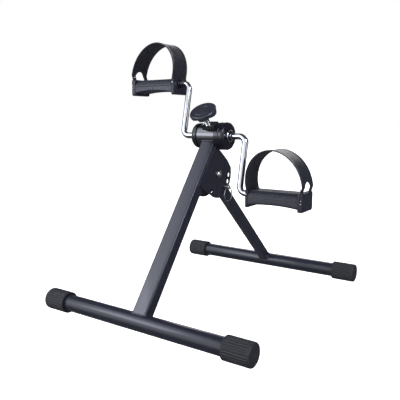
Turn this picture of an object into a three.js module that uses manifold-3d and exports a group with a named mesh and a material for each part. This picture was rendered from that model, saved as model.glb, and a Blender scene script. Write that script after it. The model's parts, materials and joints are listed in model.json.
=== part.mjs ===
// Folding pedal exerciser, in millimetres, +Z up.
// X is the crank axis (the sitter's right is +X), -Y is the foot with the wide leg, +Y the folding leg.
import * as THREE from "three";
import { mergeVertices } from "three/addons/utils/BufferGeometryUtils.js";
import Module from "manifold-3d";

const wasm = await Module();
wasm.setup();

// ---- driving dimensions -------------------------------------------------------------------------
const GAP = 0.3; // room left between touching pieces

const baseWidth = 400; // over the end caps
const footSpacing = 435; // between the two cross tube axes
const capR = 18;
const capTipR = 17.6;
const capLength = 44.5;
const capWall = 5;
const tubeR = 14;
const tubeWall = 1.5;

const hubY = -5;
const hubZ = 298;
const shellR = 21;
const shellBore = 17.5;
const shellEnds = [-30, 27];
const nutR = 11.3; // round bearing nuts at the hub's ends

const frontLeg = { width: 27, depth: 21, wall: 1.6 };
const rearLeg = { width: 17, depth: 19, wall: 1.5 };

const pivotY = -12;
const pivotZ = 230;
const boltR = 4;
const plateInner = 13.8; // half the gap between the cheek plates
const plateThick = 2.2;
const plateRound = 43; // plate edge radius about the pivot
const pinOrbit = 35.5; // lock holes lie on this circle about the pivot
const pinDrop = 3.3; // degrees that the leg's own lock hole lies under its centreline
const pinR = 4;
const pinHeadR = 4.5;
const pinHeadX = 20.7;
const ringR = 13;

const rodR = 5.5;
const crankLength = 98;
const crankLean = 12.15; // degrees, top of the left arm leans to +Y
const armX = 66;
const bendR = 12;

const knobTilt = 35; // degrees forward of vertical
const knobX = -2.6;
const knobR = 24.8;
const knobLow = 43; // underside, measured out from the crank axis
const knobHigh = 57.5;
const screwR = 5;
const bossHigh = 25; // top of the threaded block, measured out from the crank axis

const pedalIn = 88.7; // pedal's inner face, from the middle
const pedalOut = 190;
const pedalHalf = 22.5; // half width along Y
const treadTop = 9; // above the axle
const pedalBore = 6.9;
const bushingR = 6.6;
const treadLow = -14;
const plateTop = 10.5;
const plateLow = -20.5;
const strapThick = 2;
const strapCrown = 77;
const strapSpring = 19; // height where the arch leaves its straight legs
const strapHalf = 51; // half width of the arch

// ---- angles and lines worked out from them ------------------------------------------------------
const rad = THREE.MathUtils.degToRad;
const footY = footSpacing / 2;
const frontSlope = Math.atan2(hubZ - capR, hubY + footY);
const rearSlope = Math.atan2(pivotZ - capR, pivotY - footY);
const rearReach = Math.hypot(footY - pivotY, pivotZ - capR);
const lockAngle = rearSlope + Math.PI; // from the pivot down the folding leg
const foldedAngle = frontSlope + Math.PI; // from the pivot, parallel with the wide leg
const pinAngle = lockAngle - rad(pinDrop);
const plateOuter = plateInner + plateThick;
const lean = rad(crankLean);
const armDir = [0, Math.sin(lean), Math.cos(lean)];

// ---- materials ----------------------------------------------------------------------------------
function finish(colour, roughness, metalness) {
  return () => new THREE.MeshStandardMaterial({ color: colour, roughness, metalness });
}
const blackPaint = finish(0x24262c, 0.3, 0.2);
const chrome = finish(0xe6e8ea, 0.08, 1);
const zinc = finish(0xc4c6c8, 0.3, 1);
const rubber = finish(0x26272c, 0.75, 0);
const hardPlastic = finish(0x26282f, 0.45, 0);
const glossPlastic = finish(0x1d1e24, 0.2, 0);
const nylon = finish(0xd8d6cc, 0.5, 0);
const felt = finish(0x6a5a48, 0.9, 0);
const vinyl = finish(0x2b2c33, 0.5, 0);

// ---- solids -------------------------------------------------------------------------------------
function toSolid(geometry) {
  const g = geometry.index ? geometry.toNonIndexed() : geometry.clone();
  g.deleteAttribute("normal");
  g.deleteAttribute("uv");
  const merged = mergeVertices(g, 1e-4);
  return new wasm.Manifold(new wasm.Mesh({
    numProp: 3,
    vertProperties: new Float32Array(merged.attributes.position.array),
    triVerts: new Uint32Array(merged.index.array),
  }));
}

function toGeometry(solid) {
  const mesh = solid.getMesh();
  const g = new THREE.BufferGeometry();
  g.setAttribute("position", new THREE.BufferAttribute(new Float32Array(mesh.vertProperties), 3));
  g.setIndex(new THREE.BufferAttribute(new Uint32Array(mesh.triVerts), 1));
  g.computeVertexNormals();
  return g;
}

// First shape less all the others.
function cut(first, ...others) {
  let solid = toSolid(first);
  for (const other of others) {
    solid = solid.subtract(toSolid(other));
  }
  return toGeometry(solid);
}

function join(first, ...others) {
  let solid = toSolid(first);
  for (const other of others) {
    solid = solid.add(toSolid(other));
  }
  return toGeometry(solid);
}

// Round bar along X from x0 to x1, with a flat of the polygon facing down.
function barX(radius, x0, x1, y = 0, z = 0, sides = 32) {
  const g = new THREE.CylinderGeometry(radius, radius, x1 - x0, sides);
  g.rotateY(Math.PI / sides);
  g.rotateZ(Math.PI / 2);
  g.translate((x0 + x1) / 2, y, z);
  return g;
}

function tubeX(outer, inner, x0, x1, y, z, sides = 32) {
  return cut(barX(outer, x0, x1, y, z, sides), barX(inner, x0 - 1, x1 + 1, y, z, sides));
}

// Turned piece about the line through (y, z) along X; profile is a loop of [x, radius].
function turnedX(profile, y, z, sides = 36) {
  const loop = profile.map(([x, r]) => new THREE.Vector2(r, x));
  if (profile[0][1] > 1e-6) {
    loop.push(loop[0].clone());
  }
  const g = new THREE.LatheGeometry(loop, sides);
  g.rotateZ(-Math.PI / 2);
  g.translate(0, y, z);
  return g;
}

function box(x0, x1, y0, y1, z0, z1) {
  const g = new THREE.BoxGeometry(x1 - x0, y1 - y0, z1 - z0);
  g.translate((x0 + x1) / 2, (y0 + y1) / 2, (z0 + z1) / 2);
  return g;
}

// Plate in the Y-Z plane from x0 to x1; outline is a list of [y, z].
function plateX(outline, x0, x1) {
  const shape = new THREE.Shape(outline.map(([y, z]) => new THREE.Vector2(y, z)));
  const g = new THREE.ExtrudeGeometry(shape, { depth: x1 - x0, bevelEnabled: false });
  g.applyMatrix4(new THREE.Matrix4().makeBasis(
    new THREE.Vector3(0, 1, 0), new THREE.Vector3(0, 0, 1), new THREE.Vector3(1, 0, 0)));
  g.translate(x0, 0, 0);
  return g;
}

// Mirror image across the Y-Z plane, with the faces turned back outward.
function mirrored(geometry) {
  const g = geometry.clone();
  g.scale(-1, 1, 1);
  const index = g.index ? g.index.array : null;
  if (index) {
    for (let i = 0; i < index.length; i += 3) {
      const keep = index[i];
      index[i] = index[i + 1];
      index[i + 1] = keep;
    }
    return g;
  }
  const p = g.attributes.position.array;
  for (let i = 0; i < p.length; i += 9) {
    for (let k = 0; k < 3; k += 1) {
      const keep = p[i + k];
      p[i + k] = p[i + 3 + k];
      p[i + 3 + k] = keep;
    }
  }
  g.deleteAttribute("normal");
  return g;
}

// Piece made standing on the crank axis along +Z, then tilted to the knob's line.
function onKnobLine(geometry) {
  const g = geometry.clone();
  g.rotateX(rad(knobTilt));
  g.translate(knobX, hubY, hubZ);
  return g;
}

function barZ(radius, z0, z1, sides = 24) {
  const g = new THREE.CylinderGeometry(radius, radius, z1 - z0, sides);
  g.rotateX(Math.PI / 2);
  g.translate(0, 0, (z0 + z1) / 2);
  return g;
}

const group = new THREE.Group();
function node(name, geometry, material) {
  const mesh = new THREE.Mesh(geometry, material());
  mesh.name = name;
  group.add(mesh);
}

// ---- feet ---------------------------------------------------------------------------------------
function crossTube(y) {
  const end = baseWidth / 2 - capWall - GAP;
  return tubeX(tubeR, tubeR - tubeWall, -end, end, y, capR);
}

// Ribbed cap: rib crests are flats on the outer circle, one of them square to the floor.
function endCap(y) {
  const ribs = 26;
  const outline = [];
  for (let i = 0; i < ribs; i += 1) {
    const mid = -Math.PI / 2 + (i * 2 * Math.PI) / ribs;
    const half = Math.PI / ribs;
    const marks = [[-0.62, capR - 0.7], [-0.42, capR], [0.42, capR], [0.62, capR - 0.7]];
    for (const [share, r] of marks) {
      const angle = mid + share * half;
      outline.push([y + (r / Math.cos(0.42 * half)) * Math.cos(angle), capR + r * Math.sin(angle)
        + (r / Math.cos(0.42 * half) - r) * Math.sin(angle)]);
    }
  }
  const x1 = baseWidth / 2;
  const x0 = x1 - capLength;
  const body = plateX(outline, x0, x1 - 3);
  const tip = turnedX([[x1 - 3.5, 0], [x1 - 3.5, capTipR - 0.2], [x1 - 1.4, capTipR - 0.6],
    [x1 - 0.4, capTipR - 1.8], [x1, capTipR - 4], [x1, 0]], y, capR, 52);
  return cut(join(body, tip), barX(tubeR + GAP, x0 - 1, x1 - capWall, y, capR));
}

for (const [place, y] of [["front", -footY], ["rear", footY]]) {
  node(`${place}_cross_tube`, crossTube(y), blackPaint);
  node(`${place}_end_cap_right`, endCap(y), rubber);
  node(`${place}_end_cap_left`, mirrored(endCap(y)), rubber);
}

// ---- legs ---------------------------------------------------------------------------------------
// Rectangular tube from (y, z) along the slope, its ends still square.
function legTube(size, y, z, slope, length) {
  const outer = new THREE.BoxGeometry(size.width, size.depth, length);
  const inner = new THREE.BoxGeometry(size.width - 2 * size.wall, size.depth - 2 * size.wall, length + 2);
  const leg = cut(outer, inner);
  leg.translate(0, 0, length / 2);
  leg.rotateX(slope - Math.PI / 2);
  leg.translate(0, y, z);
  return leg;
}

const frontLength = Math.hypot(hubY + footY, hubZ - capR);
node("front_leg", cut(
  legTube(frontLeg, -footY, capR, frontSlope, frontLength),
  barX(tubeR + GAP, -30, 30, -footY, capR),
  barX(shellR + GAP, -30, 30, hubY, hubZ),
), blackPaint);

const lockY = pivotY + pinOrbit * Math.cos(pinAngle);
const lockZ = pivotZ + pinOrbit * Math.sin(pinAngle);
node("rear_leg", cut(
  legTube(rearLeg, footY, capR, rearSlope, rearReach + 13),
  barX(tubeR + GAP, -30, 30, footY, capR),
  barX(7, -30, 30, pivotY, pivotZ, 24),
  barX(pinR + GAP, 0, 30, lockY, lockZ, 20),
), blackPaint);

// ---- hinge --------------------------------------------------------------------------------------
// Cheek plate: lies along the leg's side, slants from the hub to a shoulder and rounds off below the pivot.
function cheekOutline() {
  const along = [Math.cos(frontSlope), Math.sin(frontSlope)];
  const across = [-along[1], along[0]];
  const onLeg = (s, t) => [
    -footY + along[0] * s + across[0] * t,
    capR + along[1] * s + across[1] * t,
  ];
  const crown = [hubY - 12, hubZ - 18.5];
  const shoulder = [pivotY + 29.5, pivotZ + 24];
  const outline = [onLeg(245, 3), onLeg(frontLength - 8, 3), crown, shoulder];
  for (let i = 0; i <= 12; i += 1) {
    const angle = rad(14 - i * 12);
    outline.push([pivotY + plateRound * Math.cos(angle), pivotZ + plateRound * Math.sin(angle)]);
  }
  return outline.reverse();
}

function cheekPlate() {
  const x0 = plateInner;
  const x1 = plateOuter;
  const holes = [0, 19.8, 39.6].map((turn) => pinAngle + rad(turn));
  holes.push(foldedAngle - rad(pinDrop));
  const drills = holes.map((angle) => barX(pinR + GAP, x0 - 1, x1 + 1,
    pivotY + pinOrbit * Math.cos(angle), pivotZ + pinOrbit * Math.sin(angle), 20));
  return cut(plateX(cheekOutline(), x0, x1),
    barX(boltR + GAP, x0 - 1, x1 + 1, pivotY, pivotZ, 24), ...drills);
}
node("hinge_plate_right", cut(cheekPlate(), barX(25, 0, 40, hubY, hubZ, 48)), blackPaint);
node("hinge_plate_left", cut(
  mirrored(cheekPlate()),
  barX(shellR + GAP, -40, 0, hubY, hubZ, 48),
), blackPaint);

node("pivot_sleeve", tubeX(6.5, boltR + GAP, -plateInner + GAP, plateInner - GAP, pivotY, pivotZ, 24), zinc);
for (const [side, sign] of [["right", 1], ["left", -1]]) {
  const washer = tubeX(12, 6.8, rearLeg.width / 2 + GAP, plateInner - GAP, pivotY, pivotZ, 28);
  node(`pivot_washer_${side}`, sign > 0 ? washer : mirrored(washer), nylon);
}
node("pivot_bolt", turnedX([
  [-22, 0], [-22, boltR - 0.6], [-21.4, boltR], [plateOuter + GAP, boltR], [plateOuter + GAP, 6.8],
  [plateOuter + 1.6, 6.8], [plateOuter + 3.6, 5], [plateOuter + 4.5, 2.6], [plateOuter + 4.5, 0],
], pivotY, pivotZ, 28), zinc);
node("pivot_nut", cut(
  barX(7, -plateOuter - 5.5, -plateOuter - GAP, pivotY, pivotZ, 6),
  barX(boltR + GAP, -40, 0, pivotY, pivotZ, 24),
), zinc);

// ---- lock pin and its ring ----------------------------------------------------------------------
const pinTip = rearLeg.width / 2 + 0.4;
const pinShank = turnedX([
  [pinTip, 0], [pinTip, pinR - 1], [pinTip + 1, pinR], [pinHeadX - 2, pinR], [pinHeadX - 2, 0],
], lockY, lockZ, 20);
const pinHead = new THREE.SphereGeometry(pinHeadR, 20, 14);
pinHead.translate(pinHeadX, lockY, lockZ);
const ringHole = new THREE.CylinderGeometry(2.1, 2.1, 20, 16);
ringHole.translate(pinHeadX, lockY, lockZ);
node("lock_pin", cut(join(pinShank, pinHead), ringHole), zinc);

function wireRing() {
  const profile = [];
  for (let i = 0; i < 8; i += 1) {
    const a = (i * Math.PI) / 4;
    profile.push([pinHeadX + Math.sin(a), ringR + Math.cos(a)]);
  }
  return turnedX(profile, lockY, lockZ - ringR, 40);
}
node("pull_ring", wireRing(), zinc);

// ---- hub ----------------------------------------------------------------------------------------
node("hub_shell", cut(
  tubeX(shellR, shellBore, shellEnds[0], shellEnds[1], hubY, hubZ, 40),
  onKnobLine(barZ(screwR + 0.4, 10, 30)),
), blackPaint);
// Threaded block welded to the shell; it reaches along to the right cap.
node("tension_boss", cut(
  onKnobLine(box(-8.5, 16.2, -9, 9, 16, bossHigh)),
  onKnobLine(barZ(screwR + 0.4, 10, 30)),
  barX(shellR + GAP, -40, 40, hubY, hubZ, 40),
), blackPaint);
node("hub_cap_right", turnedX([
  [14, shellR + GAP], [14, 24.6], [30.2, 24.6], [32.6, 23], [33.7, 20], [34.2, 16], [34.2, nutR + 0.5],
  [29, nutR + 0.5], [29, shellR + GAP],
], hubY, hubZ, 48), glossPlastic);
node("hub_cap_left", turnedX([
  [-24.5, shellR + GAP], [-32, shellR + GAP], [-32, nutR + 0.5], [-36, nutR + 0.5], [-36, 15],
  [-35.3, 18.8], [-33.6, 21], [-31, 22.3], [-24.5, 22.8],
], hubY, hubZ, 48), glossPlastic);
node("bushing_right", tubeX(17.2, rodR + GAP, 19.5, 26.5, hubY, hubZ, 36), nylon);
node("bushing_left", tubeX(17.2, rodR + GAP, -29.5, -22.5, hubY, hubZ, 36), nylon);
node("bearing_nut_right", tubeX(nutR, rodR + GAP, 28.5, 36, hubY, hubZ, 32), chrome);
node("bearing_nut_left", tubeX(nutR, rodR + GAP, -38, -31.5, hubY, hubZ, 32), chrome);
node("brake_drum", tubeX(9.5, rodR + GAP, -20, 8, hubY, hubZ, 36), zinc);
node("crank_collar", tubeX(9, rodR + GAP, 9, 18.8, hubY, hubZ, 28), zinc);

// Brake pad hollowed to the drum, with a steel shoe that the screw presses on.
function brakeBlock(low, high) {
  const block = new THREE.BoxGeometry(16, 12, high - low);
  block.translate(0, 0, (low + high) / 2);
  return block;
}
node("brake_pad", cut(onKnobLine(brakeBlock(7, 12.2)), barX(9.85, -30, 20, hubY, hubZ, 48)), felt);
node("brake_shoe", onKnobLine(brakeBlock(12.5, 13.6)), zinc);

const screwTop = knobLow + 7;
node("tension_screw", onKnobLine(barZ(screwR, 13.9, screwTop)), zinc);

// Knob with five lobes and a finger scoop between each pair.
function knobOutline(scale) {
  const shape = [];
  const steps = 60;
  for (let i = 0; i < steps; i += 1) {
    const a = (i * 2 * Math.PI) / steps;
    const scoop = Math.pow(0.5 + 0.5 * Math.cos(5 * (a - rad(38))), 3);
    const r = (knobR - 4.2 * scoop) * scale;
    shape.push(new THREE.Vector2(r * Math.cos(a), r * Math.sin(a)));
  }
  return new THREE.Shape(shape);
}
function knob() {
  const slab = (scale, z0, z1) => {
    const g = new THREE.ExtrudeGeometry(knobOutline(scale), { depth: z1 - z0, bevelEnabled: false });
    g.translate(0, 0, z0);
    return g;
  };
  return cut(
    join(
      slab(1, knobLow + 2, knobHigh - 2),
      slab(0.93, knobLow, knobHigh),
      barZ(9, knobLow - 2.5, knobLow + 1),
    ),
    barZ(screwR + GAP, knobLow - 5, screwTop + GAP),
  );
}
node("tension_knob", onKnobLine(knob()), hardPlastic);

// ---- crank --------------------------------------------------------------------------------------
// Path with straight runs and round bends, stepped only where it bends.
class RodPath extends THREE.Curve {
  constructor(corners, bend, steps) {
    super();
    this.points = [corners[0].clone()];
    this.tangents = [corners[1].clone().sub(corners[0]).normalize()];
    for (let i = 1; i < corners.length - 1; i += 1) {
      this.addBend(corners[i - 1], corners[i], corners[i + 1], bend, steps);
    }
    const last = corners[corners.length - 1];
    this.points.push(last.clone());
    this.tangents.push(last.clone().sub(corners[corners.length - 2]).normalize());
  }

  addBend(before, corner, after, bend, steps) {
    const into = corner.clone().sub(before).normalize();
    const out = after.clone().sub(corner).normalize();
    const centre = corner.clone().addScaledVector(into, -bend).addScaledVector(out, bend);
    for (let k = 0; k <= steps; k += 1) {
      const a = (k / steps) * (Math.PI / 2);
      this.points.push(centre.clone()
        .addScaledVector(out, -bend * Math.cos(a)).addScaledVector(into, bend * Math.sin(a)));
      this.tangents.push(into.clone().multiplyScalar(Math.cos(a)).addScaledVector(out, Math.sin(a)));
    }
  }

  getUtoTmapping(u) {
    return u;
  }

  getPoint(t, target = new THREE.Vector3()) {
    return target.copy(this.points[Math.round(t * (this.points.length - 1))]);
  }

  getTangent(t, target = new THREE.Vector3()) {
    return target.copy(this.tangents[Math.round(t * (this.points.length - 1))]);
  }
}

function crankRod() {
  const at = (x, along) => new THREE.Vector3(x, hubY + armDir[1] * along, hubZ + armDir[2] * along);
  const end = 178;
  const path = new RodPath([
    at(-end, crankLength), at(-armX, crankLength), at(-armX, 0),
    at(armX, 0), at(armX, -crankLength), at(end, -crankLength),
  ], bendR, 6);
  const circle = [];
  for (let i = 0; i < 18; i += 1) {
    const a = (i * 2 * Math.PI) / 18;
    circle.push(new THREE.Vector2(rodR * Math.cos(a), rodR * Math.sin(a)));
  }
  return new THREE.ExtrudeGeometry(new THREE.Shape(circle), {
    steps: path.points.length - 1, extrudePath: path, bevelEnabled: false,
  });
}
node("crank_rod", crankRod(), chrome);

// ---- pedals: made for the right side about an axle at the origin, mirrored for the left ---------
// Tread section: flat underside, upright sides, rounded shoulders, ribs along the top.
function treadOutline() {
  const half = pedalHalf - 0.4;
  const outline = [[-half + 3, treadLow], [-half, treadLow + 3], [-half, -4.5]];
  const shoulder = [[-half + 1.2, 0.2], [-half + 3.8, 4.6], [-half + 7.4, treadTop - 1]];
  const ribbed = (y0, z0, y1, z1) => {
    const length = Math.hypot(y1 - y0, z1 - z0);
    const out = [-(z1 - z0) / length, (y1 - y0) / length];
    for (const [share, up] of [[0.25, 0], [0.25, 1], [0.75, 1], [0.75, 0]]) {
      outline.push([y0 + (y1 - y0) * share + out[0] * up, z0 + (z1 - z0) * share + out[1] * up]);
    }
  };
  const path = [[-half, -4.5], ...shoulder];
  const flat = -2 * shoulder[2][0];
  for (let i = 1; i <= 7; i += 1) {
    path.push([shoulder[2][0] + (flat * i) / 7, treadTop - 1]);
  }
  for (let i = 1; i >= 0; i -= 1) {
    path.push([-shoulder[i][0], shoulder[i][1]]);
  }
  path.push([half, -4.5]);
  for (let i = 1; i < path.length; i += 1) {
    ribbed(path[i - 1][0], path[i - 1][1], path[i][0], path[i][1]);
    outline.push(path[i]);
  }
  outline.push([half, treadLow + 3], [half - 3, treadLow]);
  return outline;
}

function pedalBody() {
  return cut(plateX(treadOutline(), pedalIn + 5.3, pedalOut - 8.3), barX(pedalBore, 80, 190, 0, 0, 28));
}

// End plate outline: square shoulders, deeper than the tread below.
function endOutline(inset = 0) {
  const half = pedalHalf - inset;
  const corners = [
    [-half, plateLow + 4], [-half + 1.2, plateLow + 1.2], [-half + 4, plateLow],
    [half - 4, plateLow], [half - 1.2, plateLow + 1.2], [half, plateLow + 4],
    [half, plateTop - 3], [half - 0.9, plateTop - 0.9], [half - 3, plateTop],
    [-half + 3, plateTop], [-half + 0.9, plateTop - 0.9], [-half, plateTop - 3],
  ];
  return corners;
}

function innerEnd() {
  const slot = box(pedalIn + 1.3, pedalIn + 3.9, -30, 30, -2.3, 30);
  const studs = [-1, 1].map((side) => {
    const stud = new THREE.CylinderGeometry(1.7, 1.7, 3, 12);
    stud.translate(pedalIn + 2.5, side * pedalHalf, -8);
    return stud;
  });
  return cut(join(plateX(endOutline(0.2), pedalIn, pedalIn + 5), ...studs), slot,
    barX(pedalBore, 80, 100, 0, 0, 28));
}

function outerEnd() {
  const slot = box(pedalOut - 4.4, pedalOut - 1.8, -30, 30, -2.3, 30);
  const studs = [];
  for (const side of [-1, 1]) {
    for (const z of [-5.5, -12]) {
      const stud = new THREE.CylinderGeometry(1.6, 1.6, 3, 12);
      stud.translate(pedalOut - 3.4, side * pedalHalf, z);
      studs.push(stud);
    }
  }
  return cut(join(plateX(endOutline(), pedalOut - 8, pedalOut), ...studs), slot);
}

// Strap: an arch over the tread with a round-topped window near its outer end.
function strapSide(offset, crownShift) {
  const middle = (pedalIn + pedalOut) / 2 + 0.2;
  const points = [];
  const steps = 26;
  const half = strapHalf - offset;
  const rise = strapCrown - strapSpring - offset;
  for (let i = 0; i <= steps; i += 1) {
    const a = Math.PI - (i * Math.PI) / steps;
    const up = rise * Math.sin(a);
    points.push(new THREE.Vector2(middle + half * Math.cos(a) + (crownShift * up) / rise, strapSpring + up));
  }
  return points;
}

function strap(crownShift) {
  const outer = strapSide(0, crownShift);
  const inner = strapSide(strapThick, crownShift);
  const low = -1.8;
  const left = pedalIn + 1.6;
  const right = pedalOut - 2.1;
  const outline = [
    new THREE.Vector2(left, low), new THREE.Vector2(left, 12), ...outer,
    new THREE.Vector2(right, 12), new THREE.Vector2(right, low),
    new THREE.Vector2(right - strapThick, low), new THREE.Vector2(right - strapThick, 12),
    ...inner.reverse(),
    new THREE.Vector2(left + strapThick, 12), new THREE.Vector2(left + strapThick, low),
  ];
  const shape = new THREE.Shape(outline);
  const band = new THREE.ExtrudeGeometry(shape, { depth: 2 * pedalHalf, bevelEnabled: false });
  band.rotateX(Math.PI / 2);
  band.translate(0, pedalHalf, 0);
  const window = barX(12.5, 170, 200, 0, 14.5, 28);
  const sill = box(170, 200, -12.5, 12.5, 5, 14.5);
  const axleNotch = join(barX(pedalBore + 0.3, 80, 100, 0, 0, 28), box(80, 100, -7.2, 7.2, -8, 0));
  return cut(band, join(window, sill), axleNotch);
}

function addPedal(side, sign, crownShift) {
  const along = -sign * crankLength;
  const place = (geometry) => {
    const g = sign > 0 ? geometry.clone() : mirrored(geometry);
    g.translate(0, hubY + armDir[1] * along, hubZ + armDir[2] * along);
    return g;
  };
  node(`${side}_pedal_body`, place(pedalBody()), hardPlastic);
  node(`${side}_pedal_inner_end`, place(innerEnd()), hardPlastic);
  node(`${side}_pedal_outer_end`, place(outerEnd()), hardPlastic);
  node(`${side}_pedal_inner_bushing`, place(turnedX([
    [pedalIn - 2.4, rodR + GAP], [pedalIn - 2.4, 8.8], [pedalIn - GAP, 8.8], [pedalIn - GAP, bushingR],
    [112, bushingR], [112, rodR + GAP],
  ], 0, 0, 28)), glossPlastic);
  node(`${side}_pedal_outer_bushing`, place(tubeX(bushingR, rodR + GAP, 152, 174, 0, 0, 28)), nylon);
  node(`${side}_axle_push_nut`, place(tubeX(bushingR, rodR + GAP, 174.4, 176.2, 0, 0, 24)), zinc);
  node(`${side}_strap`, place(strap(crownShift)), vinyl);
}
addPedal("right", 1, -6);
addPedal("left", -1, -10);

export default group;
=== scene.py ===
"""Folding pedal exerciser: its looks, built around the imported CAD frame. Metres, +Z up."""
import json
import math

import bmesh
import bpy
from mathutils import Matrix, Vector


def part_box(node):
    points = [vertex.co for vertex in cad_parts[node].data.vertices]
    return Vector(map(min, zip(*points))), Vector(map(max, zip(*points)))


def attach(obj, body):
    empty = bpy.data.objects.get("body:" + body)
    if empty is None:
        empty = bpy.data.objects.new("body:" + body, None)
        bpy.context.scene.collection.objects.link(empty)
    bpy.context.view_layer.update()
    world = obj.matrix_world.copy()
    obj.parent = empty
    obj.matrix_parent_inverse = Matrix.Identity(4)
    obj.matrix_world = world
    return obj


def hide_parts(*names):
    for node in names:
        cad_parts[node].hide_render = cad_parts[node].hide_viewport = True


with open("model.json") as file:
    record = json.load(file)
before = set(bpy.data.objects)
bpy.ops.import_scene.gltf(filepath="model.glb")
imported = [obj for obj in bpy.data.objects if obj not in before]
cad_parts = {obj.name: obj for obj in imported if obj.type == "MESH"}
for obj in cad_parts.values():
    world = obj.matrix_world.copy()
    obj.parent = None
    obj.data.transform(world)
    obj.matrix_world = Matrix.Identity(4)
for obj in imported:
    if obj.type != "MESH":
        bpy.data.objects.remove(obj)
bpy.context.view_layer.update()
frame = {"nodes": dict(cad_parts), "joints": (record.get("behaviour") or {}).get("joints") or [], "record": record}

MM = 0.001
record = frame["record"]
BODY_OF = {node: body for body, nodes in record["behaviour"]["bodies"].items() for node in nodes}
SLOT_OF = {part["node"]: part["material_slot"] for part in record["subparts"]}
JOINTS = {joint["name"]: joint for joint in frame["joints"]}


# ---- places and sizes, read from the frame ------------------------------------------------------
def middle(node):
    low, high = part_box(node)
    return (low + high) / 2


def half_size(node):
    low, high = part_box(node)
    return (high - low) / 2


hub = Vector(JOINTS["crank_spin"]["pos_m"])
pivot = Vector(JOINTS["fold"]["pos_m"])
knob_line = Vector(JOINTS["pad_travel"]["axis"]).normalized()
front_foot = middle("front_cross_tube")
rear_foot = middle("rear_cross_tube")
tube_r = half_size("front_cross_tube").y
shell_r = half_size("hub_shell").y
rod_r = 5.5 * MM
X = Vector((1, 0, 0))


# ---- materials ----------------------------------------------------------------------------------
def surface(name, colour, roughness, metallic=0.0, tint=0.12, patch=90, grain=900, depth=0.02,
            rub=0.06):
    """Principled material: patchy colour, uneven roughness and a fine bump. Scales are per metre."""
    mat = bpy.data.materials.new(name)
    mat.use_nodes = True
    tree = mat.node_tree
    shader = tree.nodes["Principled BSDF"]
    shader.inputs["Metallic"].default_value = metallic
    where = tree.nodes.new("ShaderNodeTexCoord").outputs["Object"]

    def noise(scale, detail):
        node = tree.nodes.new("ShaderNodeTexNoise")
        node.inputs["Scale"].default_value = scale
        node.inputs["Detail"].default_value = detail
        tree.links.new(where, node.inputs["Vector"])
        return node.outputs["Fac"]

    ramp = tree.nodes.new("ShaderNodeValToRGB")
    for stop, share in zip(ramp.color_ramp.elements, (1 - tint, 1 + tint)):
        stop.color = [min(1, c * share) for c in colour] + [1]
    ramp.color_ramp.elements[0].position = 0.35
    ramp.color_ramp.elements[1].position = 0.65
    tree.links.new(noise(patch, 5), ramp.inputs["Fac"])
    tree.links.new(ramp.outputs["Color"], shader.inputs["Base Color"])

    spread = tree.nodes.new("ShaderNodeMapRange")
    spread.inputs["From Min"].default_value = 0.3
    spread.inputs["From Max"].default_value = 0.7
    spread.inputs["To Min"].default_value = roughness - rub
    spread.inputs["To Max"].default_value = roughness + rub
    tree.links.new(noise(patch * 2.3, 6), spread.inputs["Value"])
    tree.links.new(spread.outputs["Result"], shader.inputs["Roughness"])

    bump = tree.nodes.new("ShaderNodeBump")
    bump.inputs["Strength"].default_value = 0.6
    bump.inputs["Distance"].default_value = depth * MM
    tree.links.new(noise(grain, 3), bump.inputs["Height"])
    tree.links.new(bump.outputs["Normal"], shader.inputs["Normal"])
    return mat


def frame_paint():
    mat = surface("frame_paint", (0.0075, 0.0082, 0.0150), 0.32, tint=0.05, patch=60,
                  grain=260, depth=0.004, rub=0.025)
    shader = mat.node_tree.nodes["Principled BSDF"]
    shader.inputs["Coat Weight"].default_value = 0.45
    shader.inputs["Coat Roughness"].default_value = 0.12
    return mat


def hub_enamel():
    mat = surface("hub_enamel", (0.006, 0.006, 0.009), 0.16, tint=0.08, patch=70, grain=280,
                  depth=0.006, rub=0.04)
    shader = mat.node_tree.nodes["Principled BSDF"]
    shader.inputs["Coat Weight"].default_value = 1.0
    shader.inputs["IOR"].default_value = 1.8
    return mat


def cap_rubber():
    return surface("cap_rubber", (0.009, 0.009, 0.0115), 0.55, patch=160, grain=2200, depth=0.05, rub=0.1)


def chrome_plate():
    return surface("chrome_plate", (0.60, 0.61, 0.64), 0.07, 1.0, tint=0.02, patch=50, grain=500,
                   depth=0.002, rub=0.03)


def zinc_plate():
    return surface("zinc_plate", (0.56, 0.57, 0.59), 0.26, 1.0, tint=0.07, patch=260, grain=1600,
                   depth=0.01, rub=0.08)


def hub_plastic():
    return surface("hub_plastic", (0.006, 0.006, 0.009), 0.14, tint=0.1, patch=80, grain=300, depth=0.01)


def pedal_plastic():
    return surface("pedal_plastic", (0.0085, 0.009, 0.0155), 0.36, patch=120, grain=1700, depth=0.04,
                   rub=0.08)


def knob_plastic():
    return surface("knob_plastic", (0.014, 0.015, 0.022), 0.3, patch=140, grain=1300, depth=0.05,
                   rub=0.07)


def bearing_nylon():
    mat = surface("bearing_nylon", (0.7, 0.68, 0.6), 0.45, tint=0.05, patch=100, grain=900, depth=0.02)
    mat.node_tree.nodes["Principled BSDF"].inputs["Subsurface Weight"].default_value = 0.1
    return mat


def brake_felt():
    mat = surface("brake_felt", (0.16, 0.1, 0.06), 0.92, tint=0.35, patch=900, grain=2600, depth=0.3)
    mat.node_tree.nodes["Principled BSDF"].inputs["Sheen Weight"].default_value = 0.4
    return mat


def strap_vinyl():
    return surface("strap_vinyl", (0.010, 0.0104, 0.0155), 0.4, patch=110, grain=1100, depth=0.05,
                   rub=0.07)


MATERIALS = {make.__name__: make() for make in (
    frame_paint, hub_enamel, cap_rubber, chrome_plate, zinc_plate, hub_plastic, pedal_plastic,
    knob_plastic, bearing_nylon, brake_felt, strap_vinyl)}


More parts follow.
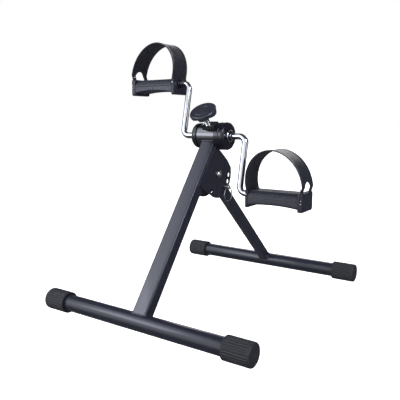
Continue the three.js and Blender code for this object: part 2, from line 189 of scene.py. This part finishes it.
# ---- mesh building ------------------------------------------------------------------------------
def mesh_object(name, verts, faces):
    mesh = bpy.data.meshes.new(name)
    mesh.from_pydata([tuple(v) for v in verts], [], faces)
    bm = bmesh.new()
    bm.from_mesh(mesh)
    bmesh.ops.recalc_face_normals(bm, faces=bm.faces)
    bm.to_mesh(mesh)
    bm.free()
    obj = bpy.data.objects.new(name, mesh)
    bpy.context.scene.collection.objects.link(obj)
    return obj


def shade(obj, angle=34):
    obj.data.polygons.foreach_set("use_smooth", [True] * len(obj.data.polygons))
    obj.data.set_sharp_from_angle(angle=math.radians(angle))


def dress(obj, node, hide=True, angle=34, finish=None):
    """Gives a piece the material, slot and body of a CAD node, and by default stands in for it."""
    finish = finish or SLOT_OF[node]
    shade(obj, angle)
    obj.data.materials.clear()
    obj.data.materials.append(MATERIALS[finish])
    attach(obj, BODY_OF[node])
    if hide:
        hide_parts(node)
    return obj


def applied(obj):
    """Turns an object's modifiers into plain mesh."""
    bpy.context.view_layer.update()
    seen = obj.evaluated_get(bpy.context.evaluated_depsgraph_get())
    mesh = bpy.data.meshes.new_from_object(seen)
    obj.modifiers.clear()
    obj.data = mesh
    return obj


def carve(obj, *cutters):
    for cutter in cutters:
        tool = obj.modifiers.new("carve", "BOOLEAN")
        tool.operation = "DIFFERENCE"
        tool.solver = "EXACT"
        tool.object = cutter
        applied(obj)
        bpy.data.objects.remove(cutter)
    return obj


def soften(obj, width, steps=2, angle=35):
    """Rounds every sharp edge by a small width."""
    bevel = obj.modifiers.new("soften", "BEVEL")
    bevel.width = width
    bevel.segments = steps
    bevel.limit_method = "ANGLE"
    bevel.angle_limit = math.radians(angle)
    return applied(obj)


def loft(rings, closed=False, capped=True):
    """Skin over rings of equal length; closed joins the last ring to the first."""
    count = len(rings[0])
    verts = [point for ring in rings for point in ring]
    faces = []
    last = len(rings) if closed else len(rings) - 1
    for i in range(last):
        a, b = i * count, ((i + 1) % len(rings)) * count
        for k in range(count):
            n = (k + 1) % count
            faces.append((a + k, a + n, b + n, b + k))
    if capped and not closed:
        faces.append(tuple(range(count)))
        faces.append(tuple(range((len(rings) - 1) * count, len(rings) * count)))
    return verts, faces


def rounded(points, radius, steps=5, closed=True):
    """A line of 2-D points with each corner turned by an arc-like curve."""
    points = [Vector(p) for p in points]
    out = []
    for i, corner in enumerate(points):
        if not closed and i in (0, len(points) - 1):
            out.append(corner)
            continue
        before, after = points[i - 1], points[(i + 1) % len(points)]
        reach = min(radius, (before - corner).length * 0.48, (after - corner).length * 0.48)
        start = corner + (before - corner).normalized() * reach
        end = corner + (after - corner).normalized() * reach
        for k in range(steps + 1):
            t = k / steps
            out.append(start * (1 - t) ** 2 + corner * 2 * t * (1 - t) + end * t ** 2)
    return out


def across(axis):
    """Two unit directions square to an axis."""
    first = axis.cross(Vector((0, 0, 1)) if abs(axis.z) < 0.9 else Vector((0, 1, 0))).normalized()
    return first, axis.cross(first).normalized()


def turned(name, profile, at, axis=X, closed=True, sides=96, ripple=None):
    """Turned piece; profile is [(along, radius)] in mm, and ripple changes the radius round the axis."""
    u, v = across(axis)
    rings = []
    for along, radius in profile:
        ring = []
        for k in range(sides):
            a = k * math.tau / sides
            r = (ripple(along, radius, a) if ripple else radius) * MM
            ring.append(at + axis * along * MM + (u * math.cos(a) + v * math.sin(a)) * r)
        rings.append(ring)
    return mesh_object(name, *loft(rings, closed=closed))


def rod(name, path, radius, sides=32, closed=False):
    """Round bar along a path of points, its section kept from twisting."""
    rings = []
    u = None
    for i, point in enumerate(path):
        after = path[(i + 1) % len(path)] if closed or i + 1 < len(path) else point
        before = path[i - 1] if closed or i else point
        along = (after - before).normalized()
        u = across(along)[0] if u is None else (u - along * u.dot(along)).normalized()
        v = along.cross(u)
        r = radius(i) if callable(radius) else radius
        rings.append([point + (u * math.cos(a) + v * math.sin(a)) * r
                      for a in (k * math.tau / sides for k in range(sides))])
    return mesh_object(name, *loft(rings, closed=closed))


def block(x, y, z):
    """Plain box to cut with; each argument is (low, high)."""
    corners = [(a, b, c) for a in x for b in y for c in z]
    faces = [(0, 1, 3, 2), (4, 6, 7, 5), (0, 4, 5, 1), (2, 3, 7, 6), (0, 2, 6, 4), (1, 5, 7, 3)]
    return mesh_object("cutter", corners, faces)


def refined(node, width=0.4, angle=34):
    """A CAD node's own shape with its seams welded, its flats cleaned up and its edges rounded."""
    source = frame["nodes"][node].data
    verts = [v.co for v in source.vertices]
    faces = [tuple(p.vertices) for p in source.polygons]
    obj = mesh_object(f"{node}_finish", verts, faces)
    bm = bmesh.new()
    bm.from_mesh(obj.data)
    bmesh.ops.remove_doubles(bm, verts=bm.verts, dist=0.005 * MM)
    bmesh.ops.dissolve_limit(bm, angle_limit=math.radians(1), verts=bm.verts, edges=bm.edges)
    bm.to_mesh(obj.data)
    bm.free()
    soften(obj, width * MM)
    return dress(obj, node, angle=angle)


# ---- feet ---------------------------------------------------------------------------------------
def cross_tube(place):
    node = f"{place}_cross_tube"
    end = half_size(node).x / MM
    r = tube_r / MM
    profile = rounded([(-end, r), (end, r), (end, r - 1.5), (-end, r - 1.5)], 0.4, 3)
    dress(turned(f"{node}_finish", profile, Vector((0, middle(node).y, middle(node).z))), node)


def end_cap(place, side):
    """Moulded cap: a lip, a fluted grip, a rounded rim and a shallow dimple in the end."""
    node = f"{place}_end_cap_{side}"
    sign = 1 if side == "right" else -1
    low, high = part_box(node)
    length = (high.x - low.x) / MM
    r = half_size(node).z / MM
    inner = min(abs(low.x), abs(high.x)) / MM
    flutes = 26

    def ripple(along, radius, angle):
        far = abs(along) - inner
        fade = min(1, max(0, far - 0.6) / 0.9) * min(1, max(0, length - 2.0 - far) / 1.2)
        wave = 0.5 - 0.5 * math.cos(flutes * (angle + math.pi / 2))
        return radius - (0.85 * fade * wave ** 1.5 if radius > r - 1 else 0)

    outside = [(0, r - 0.35), (0.6, r - 0.05), (1.5, r), (6, r), (20, r), (36, r), (length - 3.2, r),
               (length - 2.6, r - 0.05), (length - 1.8, r - 0.35), (length - 1.0, r - 0.85),
               (length - 0.4, r - 1.7), (length - 0.08, r - 3.0), (length, r - 4.6), (length, 5.0),
               (length - 0.2, 3.4), (length - 0.9, 2.7), (length - 1.1, 0.01)]
    bore_r = tube_r / MM + 0.3
    bore = [(length - 5, 0.01), (length - 5, bore_r), (0.5, bore_r), (0, tube_r / MM + 0.8)]
    profile = [(sign * (inner + a), b) for a, b in bore + outside]
    cap = turned(f"{node}_finish", profile, Vector((0, middle(node).y, middle(node).z)), closed=False,
                 sides=flutes * 8, ripple=ripple)
    dress(cap, node)


for place in ("front", "rear"):
    cross_tube(place)
    for side in ("right", "left"):
        end_cap(place, side)


# ---- legs ---------------------------------------------------------------------------------------
class Leg:
    """A rectangular tube from one round tube's axis towards a second point."""

    def __init__(self, foot, head, width, depth):
        self.foot = foot
        self.head = head
        self.along = (head - foot).normalized()
        self.out = Vector((0, -self.along.z, self.along.y))
        self.width = width
        self.depth = depth

    def outline(self, inset=0.0, corner=2.6):
        w, d = (self.width / 2 - inset), (self.depth / 2 - inset)
        return rounded([(-w, -d), (w, -d), (w, d), (-w, d)], max(0.6, corner - inset), 5)

    def at(self, point, distance):
        return self.foot + self.along * distance * MM + self.out * point[1] * MM + X * point[0] * MM

    def tube(self, name, start, end, wall):
        """start and end give the distance along the leg for a point of the section."""
        outer, inner = self.outline(), self.outline(wall)
        rings = [[self.at(p, start(p)) for p in outer], [self.at(p, end(p)) for p in outer],
                 [self.at(p, end(p)) for p in inner], [self.at(p, start(p)) for p in inner]]
        return mesh_object(name, *loft(rings, closed=True))

    def bead(self, name, node, distance, radius):
        """Rippled weld bead round the leg, where distance gives the cope."""
        outline = self.outline(-0.3)
        fine = []
        for i, p in enumerate(outline):
            q = outline[(i + 1) % len(outline)]
            steps = max(1, round((q - p).length / 0.8))
            fine += [p.lerp(q, k / steps) for k in range(steps)]
        path = [self.at(p, distance(p)) for p in fine]

        def size(i):
            return (radius + 0.16 * math.sin(i * 2.1) + 0.12 * math.sin(i * 0.7)) * MM

        dress(rod(name, path, size, 12, closed=True), node, hide=False, angle=60)


def cope(radius, point):
    return math.sqrt(max(0.0, radius ** 2 - point[1] ** 2))


FRONT_WIDTH, FRONT_DEPTH, FRONT_WALL = 27, 21, 1.6
REAR_WIDTH, REAR_DEPTH, REAR_WALL = 17, 19, 1.5
SINK = 0.6  # how far a leg's coped end dips into the round tube

front = Leg(front_foot, hub, FRONT_WIDTH, FRONT_DEPTH)
front_length = (front.head - front.foot).length / MM
dress(front.tube("front_leg_finish", lambda p: cope(tube_r / MM, p) - SINK,
                 lambda p: front_length - cope(shell_r / MM, p) + SINK, FRONT_WALL), "front_leg")
front.bead("front_leg_foot_weld", "front_leg", lambda p: cope(tube_r / MM, p) + 0.2, 1.5)
front.bead("front_leg_hub_weld", "front_leg", lambda p: front_length - cope(shell_r / MM, p) - 0.2, 1.2)

rear = Leg(rear_foot, pivot, REAR_WIDTH, REAR_DEPTH)
rear_length = (rear.head - rear.foot).length / MM
lock = Vector(JOINTS["ring_swing"]["pos_m"])


def rear_leg():
    past_pivot, sleeve_hole_r, pin_hole_r = 13, 7, 4.3
    leg = rear.tube("rear_leg_finish", lambda p: cope(tube_r / MM, p) - SINK,
                    lambda p: rear_length + past_pivot, REAR_WALL)
    hole = turned("cutter", [(-20, sleeve_hole_r), (20, sleeve_hole_r)], pivot, closed=False, sides=48)
    pin_hole = turned("cutter", [(1, pin_hole_r), (20, pin_hole_r)], Vector((0, lock.y, lock.z)),
                      closed=False, sides=32)
    dress(carve(leg, hole, pin_hole), "rear_leg")


rear_leg()
rear.bead("rear_leg_foot_weld", "rear_leg", lambda p: cope(tube_r / MM, p) + 0.2, 1.4)


# ---- hinge --------------------------------------------------------------------------------------
refined("hinge_plate_right", 0.5)
refined("hinge_plate_left", 0.5)


def pivot_bolt():
    """Pan head with a cross recess, on a plain shank."""
    low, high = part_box("pivot_bolt")
    head_height = 4.5
    face = high.x / MM - head_height
    head = [(face, 4.0), (face, 6.5), (face + 0.3, 6.8), (face + 1.2, 6.8), (face + 2.2, 6.4),
            (face + 3.2, 5.4), (face + 4.0, 3.8), (face + 4.4, 1.8), (face + head_height, 0.01)]
    profile = [(low.x / MM, 0.01), (low.x / MM, 3.4), (low.x / MM + 0.6, 4.0)] + head
    bolt = turned("pivot_bolt_finish", profile, Vector((0, pivot.y, pivot.z)), closed=False, sides=64)
    top = (high.x - 1.9 * MM, high.x + MM)
    slots = [block(top, (pivot.y - a * MM, pivot.y + a * MM), (pivot.z - b * MM, pivot.z + b * MM))
             for a, b in ((3.0, 0.65), (0.65, 3.0))]
    dress(carve(bolt, *slots), "pivot_bolt")


pivot_bolt()
refined("pivot_nut", 0.5)


def lock_pin():
    """Ball-headed pin with a chamfered tip, cross drilled for the ring."""
    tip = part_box("lock_pin")[0].x / MM
    centre = lock.x / MM
    pin_r, ball_r = 3.9, 4.5
    profile = [(tip, 0.01), (tip, 2.9), (tip + 1.0, pin_r), (centre - 3.0, pin_r), (centre - 2.6, 3.5)]
    for k in range(17):
        a = math.radians(122 - k * 122 / 16)
        profile.append((centre + ball_r * math.cos(a), max(0.01, ball_r * math.sin(a))))
    pin = turned("lock_pin_finish", profile, Vector((0, lock.y, lock.z)), closed=False, sides=48)
    drill = turned("cutter", [(-10, 2.0), (10, 2.0)], lock, Vector((0, 1, 0)), closed=False, sides=32)
    dress(carve(pin, drill), "lock_pin")


def pull_ring():
    wire_r = 1.0
    r = (half_size("pull_ring").y / MM) - wire_r
    centre = middle("pull_ring")
    path = [centre + Vector((0, math.sin(a), math.cos(a))) * r * MM
            for a in (k * math.tau / 96 for k in range(96))]
    dress(rod("pull_ring_finish", path, wire_r * MM, 16, closed=True), "pull_ring")


lock_pin()
pull_ring()


# ---- hub ----------------------------------------------------------------------------------------
def hub_turned(node, profile, corner, sides=128):
    dress(turned(f"{node}_finish", rounded(profile, corner, 4), hub, sides=sides), node)


def hub_parts():
    low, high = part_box("hub_shell")
    r = shell_r / MM
    bore_r = 17.5
    left, right = low.x / MM, high.x / MM
    hub_turned("hub_shell", [(left, r), (right, r), (right, bore_r), (left, bore_r)], 0.6)
    hub_turned("hub_cap_right", [
        (14, r + 0.3), (14, 24.2), (14.5, 24.6), (22.6, 24.6), (23.0, 24.1), (23.6, 24.1), (24.0, 24.6),
        (29.6, 24.6), (32.2, 23.4), (33.6, 20.6), (34.2, 16.5), (34.2, 13.6), (33.4, 12.9), (33.4, 11.8),
        (29, 11.8), (29, r + 0.3)], 1.0)
    hub_turned("hub_cap_left", [
        (-24.5, r + 0.3), (-32, r + 0.3), (-32, 11.8), (-36, 11.8), (-36, 15), (-35.2, 19.0),
        (-33.4, 21.3), (-31, 22.4), (-24.9, 22.8), (-24.5, 22.4)], 1.0)
    for side, sign in (("right", 1), ("left", -1)):
        low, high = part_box(f"bearing_nut_{side}")
        a, b = sorted((abs(low.x), abs(high.x)))
        a, b, r = a / MM, b / MM, (high.z - low.z) / 2 / MM
        ring = [(a, 8.0), (a, r), (b - 1.0, r), (b, r - 0.9), (b, r - 2.3), (b - 1.2, 8.0)]
        hub_turned(f"bearing_nut_{side}", [(sign * x, y) for x, y in ring], 0.4, 96)
        seal = [(a, rod_r / MM + 0.2), (a, 7.95), (b - 2.0, 7.95), (b - 2.0, 7.2), (b - 0.9, 6.6),
                (b - 0.9, rod_r / MM + 0.2)]
        smooth = rounded([(sign * x, y) for x, y in seal], 0.4, 3)
        dress(turned(f"bearing_seal_{side}", smooth, hub, sides=72), f"bearing_nut_{side}", hide=False,
              finish="hub_plastic")


hub_parts()
knob_foot = Vector((middle("tension_screw").x, hub.y, hub.z))


def tension_screw():
    """Threaded rod: the crest climbs 1.5 mm for each turn."""
    start, end, pitch, crest_r = 13.9, 50.0, 1.5, 5.0
    steps = round((end - start) / (pitch / 8))
    profile = [(start + (end - start) * k / steps, crest_r) for k in range(steps + 1)]

    def thread(along, radius, angle):
        phase = (along / pitch - angle / math.tau) % 1
        return radius - 0.75 * abs(2 * phase - 1) * (0.5 if along in (start, end) else 1)

    screw = turned("tension_screw_finish", profile, knob_foot, knob_line, closed=False, sides=32,
                   ripple=thread)
    dress(screw, "tension_screw", angle=50)


def tension_knob():
    """Hand knob: a chamfered rim, a raised ring on its face, and scoops cut into its side."""
    low = 43.0
    scoops, scoop_depth, scoop_turn = 5, 5.4, math.radians(-10)
    profile = [(low - 2.4, 5.4), (low - 2.4, 8.4), (low - 2.0, 9.0), (low, 9.3), (low + 0.2, 17.0),
               (low + 0.7, 20.2), (low + 1.8, 22.6), (low + 4.0, 23.8), (low + 6.6, 24.4),
               (low + 8.4, 24.75), (low + 9.6, 24.75), (low + 10.2, 24.5), (low + 12.0, 23.1),
               (low + 12.4, 22.5), (low + 12.6, 21.8), (low + 12.9, 15.4), (low + 13.6, 14.6),
               (low + 13.6, 11.2), (low + 12.9, 10.4), (low + 13.0, 6.0), (low + 13.2, 0.01)]
    fine = []
    for (a, b), (c, d) in zip(profile, profile[1:]):
        fine += [(a + (c - a) * k / 3, b + (d - b) * k / 3) for k in range(3)]
    fine.append(profile[-1])

    def scoop(along, radius, angle):
        lobe = (0.5 + 0.5 * math.cos(scoops * angle + scoop_turn)) ** 2
        up = max(0.0, min(1.0, (low + 10.6 - along) / 2.0))
        edge = max(0.0, min(1.0, (radius - 15.0) / 7.0))
        return radius - scoop_depth * lobe * edge * up * (2 - up)

    knob = turned("tension_knob_finish", fine, knob_foot, knob_line, closed=False, sides=180,
                  ripple=scoop)
    dress(knob, "tension_knob", angle=50)


refined("tension_boss", 1.2)
tension_screw()
tension_knob()


# ---- crank --------------------------------------------------------------------------------------
right_axle = Vector(JOINTS["right_pedal_spin"]["pos_m"])
left_axle = Vector(JOINTS["left_pedal_spin"]["pos_m"])


def crank_rod():
    """One bar: axle end, arm, hub, arm, axle end, with round bends."""
    end = half_size("crank_rod").x
    arm = 66 * MM
    bend = 12 * MM
    corners = [Vector((-end, left_axle.y, left_axle.z)), Vector((-arm, left_axle.y, left_axle.z)),
               Vector((-arm, hub.y, hub.z)), Vector((arm, hub.y, hub.z)),
               Vector((arm, right_axle.y, right_axle.z)), Vector((end, right_axle.y, right_axle.z))]
    path = [corners[0]]
    for before, corner, after in zip(corners, corners[1:], corners[2:]):
        into, out = (corner - before).normalized(), (after - corner).normalized()
        centre = corner - into * bend + out * bend
        path += [centre - out * bend * math.cos(a) + into * bend * math.sin(a)
                 for a in (math.radians(k * 90 / 20) for k in range(21))]
    path.append(corners[-1])
    dress(rod("crank_rod_finish", path, rod_r, 48), "crank_rod", angle=50)


crank_rod()


# ---- pedals: made for the right side about its axle, mirrored for the left ------------------------
PEDAL_IN, PEDAL_OUT, PEDAL_HALF = 88.7, 190.0, 22.5
BUSHING_HOLE_R = 6.9
RIB = ((0.0, 0.0), (0.2, 0.0), (0.3, 0.85), (0.42, 1.0), (0.58, 1.0), (0.7, 0.85), (0.8, 0.0))


def pedal_place(side):
    axle = right_axle if side == "right" else left_axle
    sign = 1 if side == "right" else -1
    return lambda x, y, z: Vector((sign * x * MM, axle.y + y * MM, axle.z + z * MM))


def pedal_bar(side, radius, x0, x1, sides=48):
    """Round cutter along the axle."""
    place = pedal_place(side)
    rings = [[place(x, radius * math.cos(a), radius * math.sin(a))
              for a in (k * math.tau / sides for k in range(sides))] for x in (x0, x1)]
    return mesh_object("cutter", *loft(rings))


def pedal_box(side, x, y, z):
    place = pedal_place(side)
    corners = [place(a, b, c) for a in x for b in y for c in z]
    faces = [(0, 1, 3, 2), (4, 6, 7, 5), (0, 4, 5, 1), (2, 3, 7, 6), (0, 2, 6, 4), (1, 5, 7, 3)]
    return mesh_object("cutter", corners, faces)


def tread_line(low):
    """Section of the tread, round from the lower back: plain sides, ribbed shoulders and top."""
    half = PEDAL_HALF - 0.4
    side = [(-half + 2.5, low), (-half, low + 2.5), (-half, -4.5)]
    spine = [(-half, -4.5), (-half + 1.2, 0.2), (-half + 3.8, 4.6), (-half + 7.4, 8.0)]
    spine += [(-half + 7.4 + (2 * half - 14.8) * i / 7, 8.0) for i in range(1, 8)]
    spine += [(half - 3.8, 4.6), (half - 1.2, 0.2), (half, -4.5)]
    ribs = []
    for (y0, z0), (y1, z1) in zip(spine, spine[1:]):
        length = math.hypot(y1 - y0, z1 - z0)
        out = (-(z1 - z0) / length, (y1 - y0) / length)
        for share, up in RIB:
            ribs.append((y0 + (y1 - y0) * share + out[0] * up, z0 + (z1 - z0) * share + out[1] * up))
    return side[:2] + ribs + [(half, -4.5), (half, low + 2.5), (half - 2.5, low)]


def pedal_body(side):
    """Tread block: underside arched between its ends, with a fine groove at the middle."""
    place = pedal_place(side)
    x0, x1 = PEDAL_IN + 5.05, PEDAL_OUT - 8.05
    seam = (x0 + x1) / 2
    stations = [x0, x0 + 0.5] + [x0 + 0.5 + (seam - 1 - x0) * k / 10 for k in range(1, 10)]
    stations += [seam - 0.6, seam - 0.25, seam + 0.25, seam + 0.6]
    stations += [seam + 1 + (x1 - 1.5 - seam) * k / 10 for k in range(10)] + [x1 - 0.5, x1]
    rings = []
    for x in stations:
        share = abs(x - seam) / (x1 - seam)
        low = -13.0 - 3.2 * share ** 2.2
        shrink = 0.4 if abs(x - seam) < 0.4 else (0.35 if x in (x0, x1) else 0.0)
        scale = 1 - shrink / PEDAL_HALF
        rings.append([place(x, y * scale, z * scale) for y, z in tread_line(low)])
    body = mesh_object(f"{side}_pedal_body_finish", *loft(rings))
    carve(body, pedal_bar(side, BUSHING_HOLE_R, 80, 200))
    dress(body, f"{side}_pedal_body", angle=28)


def end_line(inset=0.0, foot=0.0):
    half, top, low = PEDAL_HALF - inset, 10.5 - inset, -20.5 + inset - foot
    return rounded([(-half, low), (half, low), (half, top), (-half, top)], 3.4, 6)


def pedal_end(side, which):
    """End plate with rounded rims, a slot for the strap, and rivets."""
    node = f"{side}_pedal_{which}_end"
    place = pedal_place(side)
    x0, x1 = (PEDAL_IN, PEDAL_IN + 5) if which == "inner" else (PEDAL_OUT - 8, PEDAL_OUT)
    inset = 0.2 if which == "inner" else 0.0
    rings = []
    for x, rim in ((x0, 0.9), (x0 + 0.27, 0.3), (x0 + 0.9, 0),
                   (x1 - 0.9, 0), (x1 - 0.27, 0.3), (x1, 0.9)):
        rings.append([place(x, y, z) for y, z in end_line(inset + rim)])
    plate = mesh_object(f"{node}_finish", *loft(rings))
    if which == "inner":
        cutters = [pedal_box(side, (x0 + 1.3, x0 + 3.9), (-30, 30), (-2.3, 30)),
                   pedal_bar(side, BUSHING_HOLE_R, 80, 100)]
        rivets = [(x0 + 1.6, 2.0, 1.9)]
    else:
        cutters = [pedal_box(side, (x1 - 4.4, x1 - 1.8), (-30, 30), (-2.3, 30))]
        rivets = [(x0 + 5.6, -1.2, 1.1), (x0 + 5.6, -6.2, 1.1)]
    carve(plate, *cutters)
    dress(plate, node, angle=40)
    for number, (x, z, r) in enumerate(rivets):
        rivet(f"{node}_rivet_{number + 1}", f"{side}_axle_push_nut", f"{side}_pedal_body", place,
              x, z, r)


def rivet(name, looks, rides, place, x, z, r):
    """Domed rivet head on a pedal's front edge."""
    rings = []
    for out, share in ((-0.6, 1.0), (0.0, 1.0), (0.35, 0.94), (0.7, 0.72), (0.9, 0.4), (0.95, 0.02)):
        rings.append([place(x + r * share * math.cos(a), -PEDAL_HALF - out,
                            z + r * share * math.sin(a))
                      for a in (k * math.tau / 20 for k in range(20))])
    head = mesh_object(name, *loft(rings))
    shade(head)
    head.data.materials.append(MATERIALS[SLOT_OF[looks]])
    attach(head, BODY_OF[rides])


def inner_bushing(side):
    node = f"{side}_pedal_inner_bushing"
    sign = 1 if side == "right" else -1
    axle = right_axle if side == "right" else left_axle
    profile = [(PEDAL_IN - 2.4, 5.8), (PEDAL_IN - 2.4, 8.8), (PEDAL_IN - 0.3, 8.8), (PEDAL_IN - 0.3, 6.6),
               (112, 6.6), (112, 5.8)]
    smooth = rounded([(sign * x, r) for x, r in profile], 0.5, 3)
    dress(turned(f"{node}_finish", smooth, Vector((0, axle.y, axle.z)), sides=64), node)


def strap(side):
    """Moulded strap: an arch over the tread with raised edges and a round-topped window."""
    node = f"{side}_strap"
    place = pedal_place(side)
    lean = -6.0 if side == "right" else -10.0
    mid, half, spring, crown, thick = (PEDAL_IN + PEDAL_OUT) / 2 + 0.2, 50.0, 19.0, 76.0, 2.0
    inner_x, outer_x = PEDAL_IN + 2.6, PEDAL_OUT - 3.1
    line = [(inner_x, -1.8), (inner_x, 4.0), (inner_x, 9.0), (inner_x - 0.6, 13.0)]
    for k in range(73):
        a = math.pi - k * math.pi / 72
        up = (crown - spring) * math.sin(a)
        line.append((mid + half * math.cos(a) + lean * math.sin(a), spring + up))
    line += [(outer_x + 0.6, 13.0), (outer_x, 9.0), (outer_x, 4.0), (outer_x, -1.8)]
    edge = PEDAL_HALF
    section = [(-edge, -0.45), (-edge, 0.45), (-edge + 0.5, 0.95), (-edge + 2.0, 0.95),
               (-edge + 2.6, 0.68)]
    section += [(-edge + 9, 0.66), (0, 0.66), (edge - 9, 0.66), (edge - 2.6, 0.68), (edge - 2.0, 0.95),
                (edge - 0.5, 0.95), (edge, 0.45), (edge, -0.45), (edge - 0.5, -0.95)]
    section += [(edge - 9, -0.95), (0, -0.95), (-edge + 9, -0.95), (-edge + 0.5, -0.95)]
    rings = []
    for i, (x, z) in enumerate(line):
        ahead, behind = line[min(i + 1, len(line) - 1)], line[max(i - 1, 0)]
        dx, dz = ahead[0] - behind[0], ahead[1] - behind[1]
        length = math.hypot(dx, dz)
        nx, nz = -dz / length, dx / length
        rings.append([place(x + nx * n, y, z + nz * n) for y, n in section])
    band = mesh_object(f"{node}_finish", *loft(rings))
    window = rounded([(-12.4, 5.2), (12.4, 5.2)], 1, 1, closed=False)
    window += [Vector((12.4 * math.cos(a), 14.5 + 12.4 * math.sin(a)))
               for a in (math.radians(k * 180 / 24) for k in range(25))]
    cutter = mesh_object("cutter", *loft([[place(x, y, z) for y, z in window] for x in (170, 200)]))
    rod_gap = 7.2
    carve(band, cutter, pedal_bar(side, rod_gap, 80, 100),
          pedal_box(side, (80, 100), (-rod_gap, rod_gap), (-8, 0)))
    dress(band, node, angle=40)
    rivet_x, stud_y, stud_z, stud_r = outer_x - 1.4, -18.2, 15, 1.5
    rings = []
    for inward, share in ((-0.6, 1), (0, 1), (0.5, 0.9), (0.9, 0.55), (1.0, 0.02)):
        r = stud_r * share
        rings.append([place(rivet_x - inward, stud_y + r * math.cos(a), stud_z + r * math.sin(a))
                      for a in (k * math.tau / 20 for k in range(20))])
    stud = mesh_object(f"{node}_stud", *loft(rings))
    shade(stud)
    stud.data.materials.append(MATERIALS["zinc_plate"])
    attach(stud, BODY_OF[node])


for side in ("right", "left"):
    pedal_body(side)
    pedal_end(side, "inner")
    pedal_end(side, "outer")
    inner_bushing(side)
    strap(side)

for name, node in frame["nodes"].items():
    if not node.hide_render:
        node.data.materials.clear()
        node.data.materials.append(MATERIALS[SLOT_OF[name]])


# ---- floor, light and camera ----------------------------------------------------------------------
SKY = (0.80, 0.84, 1.0)
FLOOR_DROP = 0.045  # metres; the folded leg reaches below the surface that the object stands on


def floor():
    size = 6.0
    mat = surface("studio_floor", (0.86, 0.86, 0.87), 0.7, tint=0.01, patch=4, grain=300, depth=0.01)
    verts = [(-size, -size, 0), (size, -size, 0), (size, size, 0), (-size, size, 0)]
    sheet = mesh_object("studio_floor", verts, [(0, 1, 2, 3)])
    shader = mat.node_tree.nodes["Principled BSDF"]
    shader.inputs["Emission Color"].default_value = (1, 1, 1, 1)
    shader.inputs["Emission Strength"].default_value = 0.55
    sheet.location.z = -FLOOR_DROP
    sheet.data.materials.append(mat)
    sheet.visible_glossy = False


def panel(name, place, target, width, height, power, colour=(1, 1, 1)):
    light = bpy.data.lights.new(name, "AREA")
    light.shape = "RECTANGLE"
    light.size = width
    light.size_y = height
    light.energy = power
    light.color = colour
    obj = bpy.data.objects.new(name, light)
    obj.location = place
    obj.visible_camera = False
    obj.rotation_euler = (Vector(target) - Vector(place)).to_track_quat("-Z", "Y").to_euler()
    bpy.context.scene.collection.objects.link(obj)


def studio_world():
    """A bright band round the front of the room, dim behind and overhead; plain white to the camera."""
    world = bpy.data.worlds.new("studio")
    world.use_nodes = True
    tree = world.node_tree
    out = tree.nodes["World Output"]
    room = tree.nodes["Background"]
    toward = tree.nodes.new("ShaderNodeTexCoord").outputs["Generated"]

    def ramp(value, low, high, start, end):
        node = tree.nodes.new("ShaderNodeMapRange")
        node.interpolation_type = "SMOOTHSTEP"
        for name, number in (("From Min", low), ("From Max", high), ("To Min", start), ("To Max", end)):
            node.inputs[name].default_value = number
        tree.links.new(value, node.inputs["Value"])
        return node.outputs["Result"]

    def times(first, second):
        node = tree.nodes.new("ShaderNodeMath")
        node.operation = "MULTIPLY"
        tree.links.new(first, node.inputs[0])
        tree.links.new(second, node.inputs[1])
        return node.outputs["Value"]

    def lobe(azimuth, start, end):
        """1 towards an azimuth, falling to 0 between two angles away from it."""
        facing = tree.nodes.new("ShaderNodeVectorMath")
        facing.operation = "DOT_PRODUCT"
        turn = math.radians(azimuth)
        facing.inputs[1].default_value = (math.sin(turn), -math.cos(turn), 0.0)
        tree.links.new(toward, facing.inputs[0])
        far, near = math.cos(math.radians(end)), math.cos(math.radians(start))
        return ramp(facing.outputs["Value"], far, near, 0.0, 1.0)

    height = tree.nodes.new("ShaderNodeSeparateXYZ")
    tree.links.new(toward, height.inputs[0])
    above = ramp(height.outputs["Z"], -0.55, 0.15, 0.0, 1.0)
    below = ramp(height.outputs["Z"], 0.60, 0.88, 1.0, 0.0)
    band = times(above, below)
    both = tree.nodes.new("ShaderNodeMath")
    both.operation = "ADD"
    both.use_clamp = True
    tree.links.new(lobe(-6, 50, 88), both.inputs[0])
    tree.links.new(lobe(108, 9, 20), both.inputs[1])
    lit = times(both.outputs["Value"], band)
    tree.links.new(ramp(lit, 0.0, 1.0, 0.09, 1.3), room.inputs["Strength"])
    room.inputs["Color"].default_value = (0.92, 0.945, 1.0, 1)

    backdrop = tree.nodes.new("ShaderNodeBackground")
    backdrop.inputs["Color"].default_value = (1, 1, 1, 1)
    mix = tree.nodes.new("ShaderNodeMixShader")
    tree.links.new(tree.nodes.new("ShaderNodeLightPath").outputs["Is Camera Ray"], mix.inputs["Fac"])
    tree.links.new(room.outputs["Background"], mix.inputs[1])
    tree.links.new(backdrop.outputs["Background"], mix.inputs[2])
    tree.links.new(mix.outputs["Shader"], out.inputs["Surface"])
    bpy.context.scene.world = world


def studio():
    studio_world()
    bpy.context.scene.view_settings.view_transform = "Standard"
    overhead = bpy.data.lights.new("overhead", "SUN")
    overhead.energy = 3.4
    overhead.angle = math.radians(70)
    lamp = bpy.data.objects.new("overhead", overhead)
    lamp.visible_glossy = False
    bpy.context.scene.collection.objects.link(lamp)
    panel("rear_panel", (-0.6, 2.0, 1.1), (0, 0, 0.22), 1.6, 0.9, 10)
    panel("left_softbox", (-1.15, -0.85, 1.55), (0, -0.1, 0.18), 1.3, 0.9, 5, SKY)
    panel("low_softbox", (-0.62, -0.86, 0.52), (0, -0.1, 0.16), 0.5, 0.42, 2.4, SKY)
    panel("right_softbox", (1.35, -0.55, 1.25), (0, -0.1, 0.2), 0.7, 0.6, 19, SKY)


def camera():
    lens = bpy.data.cameras.new("camera")
    lens.sensor_width = 36
    lens.lens = 45.43
    obj = bpy.data.objects.new("camera", lens)
    obj.location = (0.4895, -0.7792, 0.3277)
    obj.rotation_euler = (math.radians(80.9), math.radians(0.08), math.radians(33.83))
    bpy.context.scene.collection.objects.link(obj)
    bpy.context.scene.camera = obj


floor()
studio()
camera()
